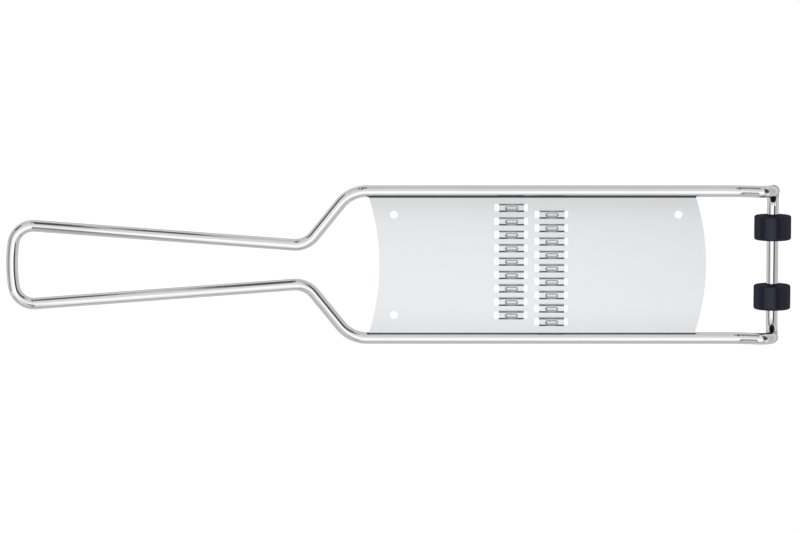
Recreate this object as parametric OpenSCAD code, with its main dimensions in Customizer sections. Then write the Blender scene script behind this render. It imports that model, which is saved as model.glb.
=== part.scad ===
// Julienne hand grater: a bent wire frame, a steel plate with pressed teeth and two rubber rings.
// Sizes are in millimetres. +X runs from the handle to the rings, +Y is on the left of a user who
// looks along +X, and +Z is up, the side that the teeth stand on. The origin lies under the middle
// of the outline, at the lowest line of the rings.

/* [Wire] */
// Diameter of the round steel wire
wire_d = 5.2; // [4.4:0.1:6]

/* [Handle] */
// Length of the loop along X, from its corners to the neck
handle_l = 129; // [100:1:160]
// Width of the loop at its end, between wire centres
handle_w = 36; // [30:0.5:45]
// Width of the loop at the neck, between wire centres
neck_w = 17; // [13:0.1:24]
// Bend radius of the loop's two corners
handle_corner_r = 9; // [7:0.5:11]
// Lean of each half of the end bar, which bows outwards
end_lean = 8; // [4:0.5:10]
// Straight wire between the bow of the end bar and a corner
end_straight = 0.5; // [0.2:0.1:1.5]
// Bend radius at the neck
neck_r = 11; // [8:0.5:14]

/* [Shoulders] */
// Angle between a shoulder and the rails
shoulder_angle = 51; // [40:1:65]
// Bend radius where a shoulder meets its rail
shoulder_r = 15; // [10:0.5:18]

/* [Rails] */
// Distance between the rails, wire centre to wire centre
rail_w = 65.7; // [60:0.1:80]
// Straight rail between the shoulder's bend and the plate
rail_lead = 0.6; // [0.6:0.1:5]
// Straight rail between the plate and the rise
rail_tail = 14.4; // [8:0.1:25]

/* [End bow] */
// Slope of the rise at the end of each rail
rise_angle = 16; // [10:1:22]
// Bend radius at the foot of the rise
rise_r = 30; // [15:1:40]
// Straight wire on the rise
rise_l = 5.7; // [3:0.1:10]
// Bend radius of the crest, where the wire turns down
crest_r = 5.5; // [4.5:0.1:7]
// Outward lean of the drop from the vertical
drop_lean = 3; // [0:1:12]
// Straight wire on the drop
drop_l = 0.3; // [0.3:0.1:6]
// Bend radius where the drop turns into the crossbar
bar_corner_r = 8; // [4.5:0.1:8.5]

/* [Plate] */
// Length of the plate along the rails
plate_l = 145.2; // [130:0.2:190]
// Thickness of the sheet
plate_t = 0.6; // [0.4:0.1:1]
// Radius of the arcs at both ends of the plate
plate_arc_r = 100; // [60:1:200]
// Height of the middle of the sheet above the rails' centre line
plate_raise = 0.8; // [0:0.1:1]
// Depth of the groove in each rail, from the wire's inner side
groove_depth = 1.2; // [1:0.1:1.6]
// Open height above the sheet inside the groove
groove_gap = 0.4; // [0.1:0.1:0.6]
// Gap between the edge of the sheet and the back of the groove
seat_gap = 0.1; // [0.05:0.05:0.3]
// Gap between each corner of the sheet and the end of the groove
groove_end_gap = 0.5; // [0.5:0.1:0.6]

/* [Teeth] */
// Columns of teeth
tooth_columns = 2; // [1:1:3]
// Distance between the columns, along the plate
column_pitch = 17.9; // [16:0.1:20]
// Distance from the plate's corners at the handle end to the middle of the first column
column_start = 63.7; // [40:0.1:80]
// Distance between teeth, across the plate
tooth_pitch = 6; // [5:0.1:8]
// Least width of plain sheet between a rail and the teeth
tooth_margin = 2.2; // [1:0.1:6]
// Length of a tooth along the plate
tooth_l = 11.1; // [9:0.1:12]
// Width of a tooth over its two legs
tooth_w = 3.4; // [3.2:0.1:4]
// Height of a tooth above the sheet
tooth_h = 1.8; // [1.5:0.1:2.5]
// Wall of a tooth, drawn thinner than the sheet
tooth_wall = 0.45; // [0.3:0.05:0.6]
// Radius of the shoulders of a tooth
tooth_r = 0.6; // [0.6:0.05:0.9]
// Opening in the sheet at the handle end of a tooth
mouth_near = 2.05; // [1.5:0.05:2.5]
// Opening in the sheet at the far end of a tooth
mouth_far = 1.7; // [1.5:0.05:2.5]
// Length of the dimple that stiffens a tooth
dimple_l = 5.8; // [4:0.1:7]
// Width of the dimple
dimple_w = 2.05; // [1.65:0.1:2.35]
// Depth of the dimple
dimple_depth = 0.7; // [0.4:0.05:0.9]

/* [Holes] */
// Diameter of the round tooling holes
hole_d = 3.5; // [2:0.1:5]
// Distance from the plate's corners at the handle end to the two near holes, along X
hole_near = 11.5; // [10:0.1:20]
// Distance from the plate's corners at the far end to the single far hole, along X
hole_far = 7.4; // [4:0.1:20]
// Distance from the inner side of a rail to a hole's centre
hole_edge = 7.8; // [5:0.1:12]

/* [Rings] */
// Outer diameter of a rubber ring
ring_d = 16.5; // [13:0.5:20]
// Length of a ring along the crossbar
ring_l = 11; // [8:0.5:14]
// Distance between the middles of the two rings
ring_spacing = 31.2; // [20:0.2:34]
// Rounding of a ring's outer edges
ring_edge_r = 1; // [0.5:0.1:2]
// Clearance between the wire and a ring's bore, on the radius
ring_clearance = 0.05; // [0.02:0.01:0.1]

/* [Hidden] */
$fn = 64;
steel_wire = [0.8, 0.81, 0.82];
steel_sheet = [0.87, 0.875, 0.88];
black_rubber = [0.1, 0.1, 0.12];

wire_r = wire_d / 2;
// Length that a bend takes from each of the two straights it joins
function bend_reach(radius, turn) = radius * tan(turn / 2);

// Handle loop, with X counted from its two corners
leg_slope = atan((handle_w - neck_w) / 2 / handle_l);
corner_turn = 90 + leg_slope - end_lean;
corner_reach = bend_reach(handle_corner_r, corner_turn);
end_half_l = handle_w / 2 / cos(end_lean);
end_bow_r = (end_half_l - corner_reach - end_straight) / tan(end_lean);
end_x = end_bow_r * (1 / cos(end_lean) - 1) - handle_w / 2 * tan(end_lean);
neck_turn = leg_slope + shoulder_angle;
neck_reach = bend_reach(neck_r, neck_turn);
leg_l = handle_l / cos(leg_slope) - corner_reach - neck_reach;

// Shoulders, rails and the plate between them
shoulder_reach = bend_reach(shoulder_r, shoulder_angle);
shoulder_rise = (rail_w - neck_w) / 2;
shoulder_l = shoulder_rise / sin(shoulder_angle) - neck_reach - shoulder_reach;
plate_x = handle_l + shoulder_rise / tan(shoulder_angle) + shoulder_reach + rail_lead;
rail_l = rail_lead + plate_l + rail_tail;

// Rise, crest, drop and crossbar
rise_reach = bend_reach(rise_r, rise_angle);
crest_turn = 90 + rise_angle - drop_lean;
crest_reach = bend_reach(crest_r, crest_turn);
rise_run = rise_reach + rise_l + crest_reach;
drop_run = crest_reach + drop_l + bar_corner_r;
bar_x = plate_x + plate_l + rail_tail + rise_reach + rise_run * cos(rise_angle) + drop_run * sin(drop_lean);
bar_z = rise_run * sin(rise_angle) - drop_run * cos(drop_lean);
bar_half_l = rail_w / 2 - bar_corner_r;

// How far a cutting shape runs past what it cuts
cut = 1;
// Balls that join bends and straights: their swell over the wire, and the gap they bridge
joint_swell = 0.02;
joint_gap = 0.05;

// Bends of each half of the wire, from the middle of the handle's end to the crossbar.
// Each one is the roll about the wire before it, its radius, its turn and the straight after it.
bends = [
    [0, end_bow_r, end_lean, end_straight],
    [0, handle_corner_r, corner_turn, leg_l],
    [180, neck_r, neck_turn, shoulder_l],
    [180, shoulder_r, shoulder_angle, rail_l],
    [-90, rise_r, rise_angle, rise_l],
    [180, crest_r, crest_turn, drop_l],
    [-90, bar_corner_r, 90, bar_half_l + cut]
];

// Place of the rails' centre line over the surface that the rings stand on
rail_z = ring_d / 2 - bar_z;
middle_x = (end_x - wire_r + bar_x + ring_d / 2) / 2;

// Seat of the plate in the rails
plate_half_w = rail_w / 2 - wire_r + groove_depth - seat_gap;
plate_top = plate_t / 2;
arc_centre = sqrt(plate_arc_r ^ 2 - plate_half_w ^ 2);
arc_bulge = plate_arc_r - arc_centre;

// Teeth: what fits between the rails sets how many there are in a column
rail_inner = rail_w / 2 - wire_r;
stagger = tooth_pitch / 2;
tooth_rows = floor((2 * (rail_inner - tooth_margin) - tooth_w - stagger) / tooth_pitch) + 1;
tooth_lap = 0.1;
tooth_top = plate_top + tooth_h;
dimple_r = ((dimple_w / 2) ^ 2 + dimple_depth ^ 2) / (2 * dimple_depth);

bore_r = wire_r + ring_clearance;

// Moves the children from the wire's own place to the part's origin
module placed() {
    translate([-middle_x, 0, rail_z]) children();
}

// Moves the children from the start of a bend to its end: the wire runs along Y and turns towards +X
module after_bend(radius, turn) {
    translate([radius, 0, 0]) rotate([0, 0, -turn]) translate([-radius, 0, 0]) children();
}

// One bend, with a barely fuller ball at each end that joins it to the straights
module wire_bend(radius, turn) {
    ball_d = wire_d + 2 * joint_swell;
    translate([radius, 0, 0])
        rotate([0, 0, 180 - turn])
            rotate_extrude(angle = turn) translate([radius, 0]) circle(d = wire_d);
    sphere(d = ball_d);
    after_bend(radius, turn) sphere(d = ball_d);
}

// One bend and the straight after it, with the rest of the wire carried on from there
module wire_from(step, side) {
    radius = bends[step][1];
    turn = bends[step][2];
    straight = bends[step][3];
    rotate([0, side * bends[step][0], 0]) {
        wire_bend(radius, turn);
        after_bend(radius, turn) {
            translate([0, joint_gap, 0])
                rotate([-90, 0, 0]) cylinder(h = straight - 2 * joint_gap, d = wire_d);
            if (step + 1 < len(bends))
                translate([0, straight, 0]) wire_from(step + 1, side);
        }
    }
}

// Left or right half of the wire, cut where the crossbar reaches the middle
module half_wire(side) {
    difference() {
        translate([end_x, 0, 0]) rotate([90 - side * 90, 0, 0]) wire_from(0, side);
        translate([bar_x, -side * cut, bar_z]) cube([2 * wire_d, 2 * cut, 2 * wire_d], center = true);
    }
}

// Grooves along the inner sides of the rails: the sheet lies on the lower face of each
module plate_grooves() {
    groove_l = plate_l + 2 * groove_end_gap;
    groove_h = plate_t + groove_gap;
    back_w = 2 * (plate_half_w + seat_gap);
    translate([plate_x - groove_end_gap, -back_w / 2, plate_raise - plate_top])
        cube([groove_l, back_w, groove_h]);
}

module wire_frame() {
    color(steel_wire) placed() difference() {
        union() {
            half_wire(1);
            half_wire(-1);
        }
        plate_grooves();
    }
}

// Outline of the sheet, with X counted from its corners at the handle end
module plate_outline() {
    difference() {
        intersection() {
            translate([0, -plate_half_w]) square([plate_l + arc_bulge, 2 * plate_half_w]);
            translate([plate_l - arc_centre, 0]) circle(plate_arc_r);
        }
        translate([-arc_centre, 0]) circle(plate_arc_r);
    }
}

module plate_holes() {
    hole_y = rail_inner - hole_edge;
    for (place = [[hole_near, hole_y], [hole_near, -hole_y], [plate_l - hole_far, hole_y]])
        translate([place.x, place.y, -plate_t]) cylinder(h = 2 * plate_t, d = hole_d);
}

// Places the children at every tooth
module at_teeth() {
    for (column = [0:tooth_columns - 1], row = [0:tooth_rows - 1]) {
        side = column % 2 == 0 ? 1 : -1;
        y = (row - (tooth_rows - 1) / 2) * tooth_pitch + side * stagger / 2;
        translate([column_start + column * column_pitch, y, 0]) children();
    }
}

module tooth_window() {
    length = mouth_near + tooth_l + mouth_far;
    width = tooth_w - 2 * tooth_lap;
    translate([-tooth_l / 2 - mouth_near, -width / 2, -plate_t]) cube([length, width, 2 * plate_t]);
}

// Upright arch with round shoulders, standing on the X axis
module arch(width, height, radius) {
    translate([-width / 2, 0]) square([width, height - radius]);
    translate([radius - width / 2, 0]) square([width - 2 * radius, height]);
    for (side = [-1, 1])
        translate([side * (width / 2 - radius), height - radius]) circle(radius);
}

module along_x(length) {
    rotate([90, 0, 90]) linear_extrude(height = length, center = true) children();
}

// Round bar with ball ends: its foot is the dimple
module dimple_bar(radius) {
    half = (dimple_l - dimple_w) / 2;
    translate([0, 0, tooth_top + dimple_r - dimple_depth]) {
        rotate([0, 90, 0]) cylinder(h = 2 * half, r = radius, center = true);
        for (end = [-1, 1])
            translate([end * half, 0, 0]) sphere(radius);
    }
}

// Dimple's own wall under the top of the tooth
module dimple_wall() {
    depth = dimple_depth + tooth_wall + cut;
    intersection() {
        dimple_bar(dimple_r + tooth_wall);
        translate([-tooth_l / 2, -tooth_w / 2 + tooth_lap, tooth_top - tooth_wall / 2 - depth])
            cube([tooth_l, tooth_w - 2 * tooth_lap, depth]);
    }
}

// One tooth: a bridge with two legs, open at both ends, with a dimple in its top
module tooth() {
    height = plate_t + tooth_h;
    difference() {
        union() {
            difference() {
                translate([0, 0, -plate_top]) along_x(tooth_l) arch(tooth_w, height, tooth_r);
                translate([0, 0, -plate_top - cut])
                    along_x(tooth_l + cut)
                        arch(tooth_w - 2 * tooth_wall, height + cut - tooth_wall, tooth_r - tooth_wall);
            }
            dimple_wall();
        }
        dimple_bar(dimple_r);
    }
}

module grating_plate() {
    color(steel_sheet) placed() translate([plate_x, 0, plate_raise]) {
        difference() {
            translate([0, 0, -plate_top]) linear_extrude(plate_t) plate_outline();
            plate_holes();
            at_teeth() tooth_window();
        }
        at_teeth() tooth();
    }
}

// Section of a ring on one side of its axis, with rounded outer edges
module ring_section() {
    wall = ring_d / 2 - bore_r;
    edge = ring_edge_r;
    translate([bore_r, edge - ring_l / 2]) square([wall, ring_l - 2 * edge]);
    translate([bore_r, -ring_l / 2]) square([wall - edge, ring_l]);
    for (end = [-1, 1])
        translate([ring_d / 2 - edge, end * (ring_l / 2 - edge)]) circle(edge);
}

module rubber_ring(side) {
    color(black_rubber) placed() translate([bar_x, side * ring_spacing / 2, bar_z])
        rotate([90, 0, 0]) rotate_extrude() ring_section();
}

module rubber_ring_left() {
    rubber_ring(1);
}

module rubber_ring_right() {
    rubber_ring(-1);
}

wire_frame();
grating_plate();
rubber_ring_left();
rubber_ring_right();
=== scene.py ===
import math

import bmesh
import bpy
from mathutils import Matrix, Vector


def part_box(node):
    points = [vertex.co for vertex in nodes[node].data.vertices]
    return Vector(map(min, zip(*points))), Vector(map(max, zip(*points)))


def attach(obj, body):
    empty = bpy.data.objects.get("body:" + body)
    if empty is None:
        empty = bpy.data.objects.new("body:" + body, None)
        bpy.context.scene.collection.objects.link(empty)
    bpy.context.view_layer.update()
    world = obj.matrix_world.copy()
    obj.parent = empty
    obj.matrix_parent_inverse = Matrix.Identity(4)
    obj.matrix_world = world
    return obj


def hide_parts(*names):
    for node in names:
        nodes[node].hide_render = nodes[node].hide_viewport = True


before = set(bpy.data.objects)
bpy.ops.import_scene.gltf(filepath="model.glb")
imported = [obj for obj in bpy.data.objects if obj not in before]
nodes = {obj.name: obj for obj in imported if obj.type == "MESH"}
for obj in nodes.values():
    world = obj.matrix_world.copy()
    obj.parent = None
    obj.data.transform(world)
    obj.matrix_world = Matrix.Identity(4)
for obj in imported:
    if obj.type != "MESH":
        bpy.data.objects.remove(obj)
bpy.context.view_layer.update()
scene = bpy.context.scene


# Wire frame: one round stainless wire, polished bright, bent cold on round formers into handle, neck,
# shoulders, rails and end bow, and butt-welded on the crossbar. A groove is milled along each rail for
# the plate; the groove and a strip of its upper lip carry painted shade. Its sizes are in millimetres.
MM = 0.001
wire_d = 5.2
handle_l = 129
handle_w = 36
neck_w = 17
handle_corner_r = 9
end_lean = 8
end_straight = 0.5
neck_r = 11
shoulder_angle = 51
shoulder_r = 15
rail_w = 65.7
rail_lead = 0.6
rail_tail = 14.4
rise_angle = 16
rise_r = 30
rise_l = 5.7
crest_r = 5.5
drop_lean = 3
drop_l = 0.3
bar_corner_r = 8
plate_l = 145.2
plate_t = 0.6
plate_raise = 0.8
groove_depth = 1.2
groove_gap = 0.4
groove_end_gap = 0.5
lip_h = 0.35


def reach(radius, turn):
    """Length that a bend takes from each of the two straights it joins."""
    return radius * math.tan(math.radians(turn) / 2)


leg_slope = math.degrees(math.atan2((handle_w - neck_w) / 2, handle_l))
corner_turn = 90 + leg_slope - end_lean
corner_reach = reach(handle_corner_r, corner_turn)
end_half_l = handle_w / 2 / math.cos(math.radians(end_lean))
end_bow_r = (end_half_l - corner_reach - end_straight) / math.tan(math.radians(end_lean))
neck_turn = leg_slope + shoulder_angle
neck_reach = reach(neck_r, neck_turn)
leg_l = handle_l / math.cos(math.radians(leg_slope)) - corner_reach - neck_reach
shoulder_line = (rail_w - neck_w) / 2 / math.sin(math.radians(shoulder_angle))
shoulder_l = shoulder_line - neck_reach - reach(shoulder_r, shoulder_angle)
crest_turn = 90 + rise_angle - drop_lean
bar_half_l = rail_w / 2 - bar_corner_r
groove_l = plate_l + 2 * groove_end_gap
groove_back = rail_w / 2 - wire_d / 2 + groove_depth
groove_low = plate_raise - plate_t / 2
groove_high = plate_raise + plate_t / 2 + groove_gap

# The bends of one half of the wire, from the middle of the handle's end to the middle of the crossbar:
# the roll about the wire before the bend, its radius, its turn and the straights after it.
bends = [
    (0, end_bow_r, end_lean, [end_straight]),
    (0, handle_corner_r, corner_turn, [leg_l]),
    (180, neck_r, neck_turn, [shoulder_l]),
    (180, shoulder_r, shoulder_angle, [rail_lead - groove_end_gap, groove_l, rail_tail - groove_end_gap]),
    (-90, rise_r, rise_angle, [rise_l]),
    (180, crest_r, crest_turn, [drop_l]),
    (-90, bar_corner_r, 90, [bar_half_l]),
]

# The mesh is a hair thinner than the wire, so that it stays inside the CAD shape's box.
hair = 0.015
sides = 64
bend_step = 2.5
least_bend_steps = 6
merge_gap = 0.001
sharp_angle = math.radians(20)


def only(kind, geometry):
    return [part for part in geometry if isinstance(part, kind)]


def add_object(name, bm):
    mesh = bpy.data.meshes.new(name)
    bm.to_mesh(mesh)
    bm.free()
    obj = bpy.data.objects.new(name, mesh)
    scene.collection.objects.link(obj)
    return obj


bm = bmesh.new()
across_wire = Matrix.Rotation(math.radians(90), 4, "X")
bmesh.ops.create_circle(bm, segments=sides, radius=wire_d / 2 - hair, matrix=across_wire)
rim = bm.edges[:]
way = Matrix.Identity(4)
for roll, radius, turn, straights in bends:
    way = way @ Matrix.Rotation(math.radians(roll), 4, "Y")
    centre = way @ Vector((radius, 0, 0))
    axis = way.to_3x3() @ Vector((0, 0, -1))
    steps = max(least_bend_steps, round(turn / bend_step))
    bent = bmesh.ops.spin(bm, geom=rim, cent=centre, axis=axis, angle=math.radians(turn), steps=steps)
    rim = only(bmesh.types.BMEdge, bent["geom_last"])
    out = Matrix.Translation((radius, 0, 0))
    way = way @ out @ Matrix.Rotation(math.radians(-turn), 4, "Z") @ out.inverted()
    for length in straights:
        drawn = bmesh.ops.extrude_edge_only(bm, edges=rim)["geom"]
        ring = set(only(bmesh.types.BMVert, drawn))
        bmesh.ops.translate(bm, vec=way.to_3x3() @ Vector((0, length, 0)), verts=list(ring))
        way = way @ Matrix.Translation((0, length, 0))
        rim = [e for e in only(bmesh.types.BMEdge, drawn) if ring.issuperset(e.verts)]
        if length == groove_l:
            rail_faces = only(bmesh.types.BMFace, drawn)


def on_inner_side(face, low, high):
    """True for a face of the rail that looks at the plate, with its middle between two heights."""
    middle = face.calc_center_median()
    return middle.y < rail_w / 2 and low < middle.z < high


# Painted shade: the groove's mouth, its back and a strip of its upper lip take the second, dark material.
mouth = [f for f in rail_faces if on_inner_side(f, groove_low, groove_high)]
for face in rail_faces:
    face.material_index = int(on_inner_side(face, groove_low, groove_high + lip_h))
cut = bmesh.ops.extrude_face_region(bm, geom=mouth)["geom"]
bmesh.ops.delete(bm, geom=[f for f in mouth if f.is_valid], context="FACES_ONLY")
back = only(bmesh.types.BMVert, cut)
bmesh.ops.scale(bm, vec=(1, 0, 1), space=Matrix.Translation((0, -groove_back, 0)), verts=back)
for face in {f for v in back for f in v.link_faces}:
    face.material_index = 1
bmesh.ops.mirror(bm, geom=bm.verts[:] + bm.edges[:] + bm.faces[:], axis="Y", merge_dist=merge_gap)
bmesh.ops.remove_doubles(bm, verts=bm.verts, dist=merge_gap)
bmesh.ops.recalc_face_normals(bm, faces=bm.faces)
for face in bm.faces:
    face.smooth = True
for edge in bm.edges:
    edge.smooth = edge.calc_face_angle(0) < sharp_angle
# The crossbar runs through the middle of the rings, which sets the wire's place in the frame.
ring_low, ring_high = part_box("rubber_ring_left")
to_rings = (ring_low + ring_high) / 2 - way.translation * MM
to_rings.y = 0
placed = Matrix.Translation(to_rings) @ Matrix.Scale(MM, 4)
bmesh.ops.transform(bm, matrix=placed, verts=bm.verts)
wire = add_object("bent_wire", bm)


class Sock:
    """A shader socket that takes part in sums and products, and can make any other node."""

    def __init__(self, tree, socket):
        self.tree = tree
        self.socket = socket

    def make(self, kind, settings=(), out=0, **inputs):
        node = self.tree.nodes.new(kind)
        for name, value in dict(settings).items():
            setattr(node, name, value)
        for name, value in inputs.items():
            key = int(name[1:]) if name[0] == "_" else name.replace("_", " ")
            if isinstance(value, Sock):
                self.tree.links.new(value.socket, node.inputs[key])
            else:
                node.inputs[key].default_value = value
        return Sock(self.tree, node.outputs[out])

    def maths(self, operation, *values):
        keys = {"_%d" % i: v for i, v in enumerate(values)}
        return self.make("ShaderNodeMath", {"operation": operation}, **keys)

    def smooth(self, low, high):
        settings = {"interpolation_type": "SMOOTHSTEP"}
        return self.make("ShaderNodeMapRange", settings, Value=self, From_Min=low, From_Max=high)

    def __abs__(self):
        return self.maths("ABSOLUTE", self)

    def __add__(self, other):
        return self.maths("ADD", self, other)

    __radd__ = __add__

    def __sub__(self, other):
        return self.maths("SUBTRACT", self, other)

    def __rsub__(self, other):
        return self.maths("SUBTRACT", other, self)

    def __mul__(self, other):
        return self.maths("MULTIPLY", self, other)

    __rmul__ = __mul__

    def __lt__(self, other):
        return self.maths("LESS_THAN", self, other)


def new_material(name):
    material = bpy.data.materials.new(name)
    material.use_nodes = True
    tree = material.node_tree
    tree.nodes.clear()
    place = Sock(tree, tree.nodes.new("ShaderNodeTexCoord").outputs["Object"])
    return material, place


def finish_material(material, shader):
    output = material.node_tree.nodes.new("ShaderNodeOutputMaterial")
    material.node_tree.links.new(shader.socket, output.inputs["Surface"])


def tint(shade, red, green, blue):
    return shade.make("ShaderNodeCombineColor", _0=shade * red, _1=shade * green, _2=shade * blue)


bright_grey = 0.56
bright, place = new_material("polished wire")
stretch = place.make("ShaderNodeMapping", Vector=place, Scale=(60, 900, 900))
marks = place.make("ShaderNodeTexNoise", Vector=stretch, Scale=1.0, Detail=3.0)
smears = place.make("ShaderNodeTexNoise", Vector=place, Scale=45.0, Detail=2.0)
finish_material(
    bright,
    place.make(
        "ShaderNodeBsdfPrincipled",
        Base_Color=tint(bright_grey + smears * 0.05, 1, 1, 1.01),
        Metallic=1.0,
        Roughness=0.04 + smears * 0.04 + marks * 0.02,
        Specular_Tint=(0.45, 0.45, 0.46, 1),
        Normal=place.make("ShaderNodeBump", Height=marks, Strength=0.04, Distance=0.2 * MM),
    ),
)
# Painted shade for the groove and its upper lip: a dark, rough steel colour where the gap lies in shadow.
groove_shade_grey = 0.03
groove_shade_material, place = new_material("painted groove shade")
groove_shade_noise = place.make("ShaderNodeTexNoise", Vector=place, Scale=900.0, Detail=3.0)
finish_material(
    groove_shade_material,
    place.make(
        "ShaderNodeBsdfPrincipled",
        Base_Color=tint(groove_shade_grey + groove_shade_noise * 0.03, 1, 1, 1.02),
        Metallic=0.4,
        Roughness=0.5 + groove_shade_noise * 0.2,
        Normal=place.make("ShaderNodeBump", Height=groove_shade_noise, Strength=0.3, Distance=0.1 * MM),
    ),
)
wire.data.materials.append(bright)
wire.data.materials.append(groove_shade_material)
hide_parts("wire_frame")
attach(wire, "frame")


# Grating plate: stainless sheet, satin rolled and a little crowned, blanked with round ends. The teeth
# are lanced and drawn up in one press stroke; dark lines of painted shade run along their flanks. Its long
# edges are seated in the grooves of the rails, with a painted shade line along each seam, more of it on
# the left, and the sheet is painted a little darker towards the rails as painted shade.
tooth_columns = 2
tooth_rows = 9
column_start = 63.7 * MM
column_pitch = 17.9 * MM
tooth_pitch = 6 * MM
tooth_l = 11.1 * MM
# Where the painted shade line on a tooth's flank and on the sheet beside it starts, is full, fades and
# ends, in millimetres from its middle
left_flank_shade_span = (1.2, 1.5, 1.7, 1.8)
right_flank_shade_span = (0.8, 1.05, 1.75, 1.9)
column_half_w = (tooth_rows - 1) / 2 * tooth_pitch + left_flank_shade_span[-1] * MM
rail_inner = (rail_w - wire_d) / 2 * MM
plate_low, plate_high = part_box("grating_plate")
satin, place = new_material("satin sheet")
x, y = (place.make("ShaderNodeSeparateXYZ", out=i, Vector=place) for i in range(2))
stretch = place.make("ShaderNodeMapping", Vector=place, Scale=(25, 1400, 200))
grain = place.make("ShaderNodeTexNoise", Vector=stretch, Scale=1.0, Detail=4.0)
cloud = place.make("ShaderNodeTexNoise", Vector=place, Scale=22.0, Detail=2.0)
# Painted shade: a dark line on the sheet along each rail, where the seam lies in shadow; stronger at the
# left rail.
left_seam_shade = y.smooth(rail_inner - 0.4 * MM, rail_inner - 0.1 * MM)
right_seam_shade = (-1 * y).smooth(rail_inner - 0.05 * MM, rail_inner + 0.15 * MM)
seam_shade = left_seam_shade + right_seam_shade * 0.7
# Painted shade: the sheet is painted a little darker towards both rails.
edge = abs(y).smooth(18 * MM, 31 * MM)


def band(value, start, full, fade, end):
    return value.smooth(start * MM, full * MM) * (1 - value.smooth(fade * MM, end * MM))


# Painted shade on the teeth: dark lines along both flanks of each tooth and on the sheet just beside them,
# lighter at the tooth's middle.
flank_shade_bands = []
for column in range(tooth_columns):
    stagger = tooth_pitch / 4 * (-1) ** column
    along = abs(x - (plate_low.x + column_start + column * column_pitch))
    across = place.maths("WRAP", y - stagger, -tooth_pitch / 2, tooth_pitch / 2)
    inside = (along < tooth_l / 2) * (abs(y - stagger) < column_half_w)
    both_flank_shade = band(across, *left_flank_shade_span) * 0.6 + band(-1 * across, *right_flank_shade_span)
    flank_shade_bands.append(both_flank_shade * inside * (0.5 + along.smooth(1 * MM, 3 * MM) * 0.5))
painted_flank_shade = sum(flank_shade_bands)
crown_rate = 1.3
crown = y * y * -crown_rate
sheet_grey = 0.532
# The sheet's tone, times the painted shade towards the rails, along the seams and on the tooth flanks.
shade = (sheet_grey + cloud * 0.03) * (1 - edge * 0.07) * (1 - seam_shade * 0.9) * (1 - painted_flank_shade * 0.85)
finish_material(
    satin,
    place.make(
        "ShaderNodeBsdfPrincipled",
        Base_Color=tint(shade, 0.995, 1.003, 1.02),
        Metallic=1.0,
        Roughness=0.28 + cloud * 0.03 + grain * 0.04,
        Normal=place.make("ShaderNodeBump", Height=grain * 0.004 * MM + crown, Strength=1.0, Distance=1.0),
    ),
)
plate = nodes["grating_plate"]
plate.data.materials.clear()
plate.data.materials.append(satin)


# Rubber rings: moulded blue-black rubber, matt with a faint sheen, slipped over the crossbar before the
# wire was closed. They keep the end off the table and stop it from slipping.
rubber_grey = 0.0025
sheen_part = 0.026
rubber, place = new_material("black rubber")
speckle = place.make("ShaderNodeTexNoise", Vector=place, Scale=900.0, Detail=3.0)
bloom = place.make("ShaderNodeTexNoise", Vector=place, Scale=120.0, Detail=2.0)
pores = place.make("ShaderNodeBump", Height=speckle, Strength=0.12, Distance=0.2 * MM)
matt = place.make(
    "ShaderNodeBsdfPrincipled",
    Base_Color=tint(rubber_grey + bloom * 0.0015, 1, 1.1, 4.5),
    Roughness=0.8,
    Specular_IOR_Level=0.0,
    Normal=pores,
)
sheen = place.make(
    "ShaderNodeBsdfPrincipled",
    Base_Color=(0.92, 0.94, 1, 1),
    Metallic=1.0,
    Roughness=0.3 + bloom * 0.06,
    Normal=pores,
)
finish_material(rubber, place.make("ShaderNodeMixShader", _0=sheen_part, _1=matt, _2=sheen))
for name in ("rubber_ring_left", "rubber_ring_right"):
    nodes[name].data.materials.clear()
    nodes[name].data.materials.append(rubber)


# Studio: a lit white table under a wide soft ceiling light, brightest over the grater, with low
# reflectors all round and a few dark gaps between them. Places are in metres.
table_half_w = 0.6
bm = bmesh.new()
bmesh.ops.create_grid(bm, x_segments=1, y_segments=1, size=table_half_w)
table = add_object("table", bm)
pale, place = new_material("pale table")
finish_material(
    pale,
    place.make(
        "ShaderNodeBsdfPrincipled",
        Base_Color=(0.05, 0.05, 0.05, 1),
        Roughness=0.9,
        Specular_IOR_Level=0.0,
        Emission_Color=(1, 1, 1, 1),
        Emission_Strength=1.0,
    ),
)
table.data.materials.append(pale)

room_grey = (0.1, 0.1, 0.1, 1)
scene.world = bpy.data.worlds.new("studio")
scene.world.use_nodes = True
scene.world.node_tree.nodes["Background"].inputs["Color"].default_value = room_grey

ceiling_z = 1.1
low_z = 0.575
low_h = 1.05
# Edges that the ceiling panels share, along X from the handle's side and along Y from the front
left = -1.4
far_box_left = -1.0
box_left = -0.5
strip_left = -0.42
strip_right = -0.26
neck_left = -0.25
neck_right = -0.17
right = 0.46
front = -1.8
mid_front = -0.6
box_front = -0.25
box_back = 0.09
mid_back = 0.5
far = 1.5
wall = 2.0


def soft_light(name, place, facing, size, brightness):
    light = bpy.data.lights.new(name, "AREA")
    light.shape = "RECTANGLE"
    light.size, light.size_y = size
    light.energy = brightness * math.pi * size[0] * size[1]
    obj = bpy.data.objects.new(name, light)
    obj.location = place
    obj.rotation_euler = Vector(facing).to_track_quat("-Z", "Y").to_euler()
    scene.collection.objects.link(obj)


def ceiling(name, start, end, near, back, brightness):
    middle = ((start + end) / 2, (near + back) / 2, ceiling_z)
    soft_light(name, middle, (0, 0, -1), (end - start, back - near), brightness)


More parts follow.
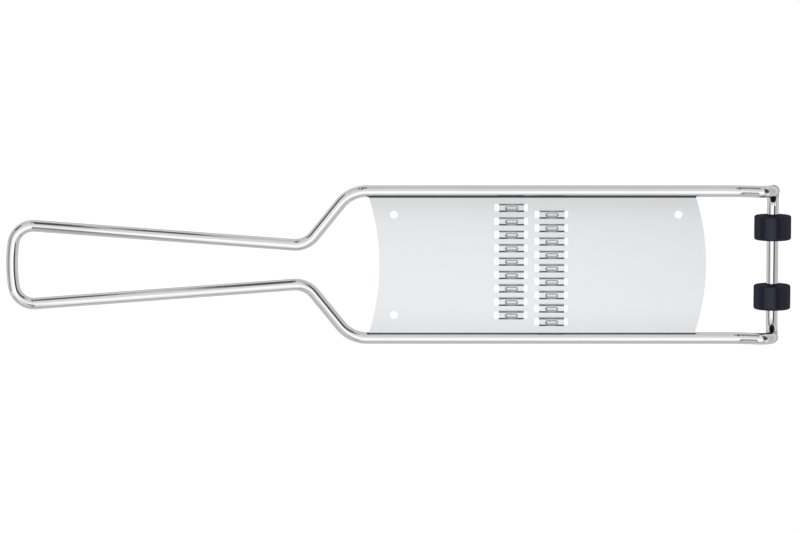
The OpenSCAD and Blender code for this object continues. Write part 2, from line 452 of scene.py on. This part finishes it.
ceiling("main softbox", box_left, right, box_front, box_back, 1.6)
ceiling("front of the softbox", strip_right, right, mid_front, box_front, 1.6)
ceiling("softbox fall-off", strip_right, right, front, mid_front, 1.3)
ceiling("dim strip", strip_left, strip_right, front, box_front, 0.3)
ceiling("front of the far softbox", left, strip_left, mid_front, box_front, 1.4)
ceiling("front reflector", left, strip_left, front, mid_front, 0.95)
ceiling("right front reflector", right, 1.6, front, -0.4, 0.85)
ceiling("far softbox", far_box_left, box_left, box_front, box_back, 1.25)
ceiling("far edge", left, far_box_left, box_front, box_back, 0.95)
ceiling("reflector", left, right, box_back, mid_back, 1.1)
ceiling("reflector beyond the handle", left, neck_left, mid_back, far, 1.0)
ceiling("reflector over the neck", neck_left, neck_right, mid_back, 1.0, 1.0)
ceiling("reflector over the plate", neck_right, right, mid_back, far, 1.0)
# Panels at the far wall. The gaps between them show as the dark streaks along the handle.
far_panels = [(-1.6, -0.53), (-0.42, -0.34), (-0.175, -0.14), (-0.05, 1.2)]
for start, end in far_panels:
    ceiling("far reflector", start, min(end, right), far, wall, 0.95)
    soft_light("low reflector", ((start + end) / 2, wall, low_z), (0, -1, 0), (end - start, low_h), 0.78)
soft_light("low front reflector", (-0.1, front, low_z), (0, 1, 0), (2.6, low_h), 0.62)
soft_light("low left reflector", (left, -1.2, low_z), (1, 0, 0), (1.3, low_h), 0.6)
soft_light("handle reflector", (-0.6, 0, 0.19), (1, 0, 0), (0.6, 0.34), 0.45)
soft_light("ring reflector", (0.5, 0, 0.195), (-1, 0, 0), (1.6, 0.35), 0.7)

# Camera: above the grater, a little towards the user's left, level with the photo's frame. The lens
# follows from the width of the picture at the height of the rails.
tilt = math.radians(6.5)
distance = 1.7
picture_w = 0.35584
sensor_w = 36
centre = Vector((0.00015, -0.0008, 0.0188))
away = Vector((0, math.sin(tilt), math.cos(tilt)))
camera = bpy.data.cameras.new("camera")
camera.sensor_width = sensor_w
camera.lens = sensor_w * distance / picture_w
eye = bpy.data.objects.new("camera", camera)
eye.matrix_world = Matrix.Translation(centre + away * distance) @ Matrix.Rotation(-tilt, 4, "X")
scene.collection.objects.link(eye)
scene.camera = eye
scene.view_settings.view_transform = "Standard"
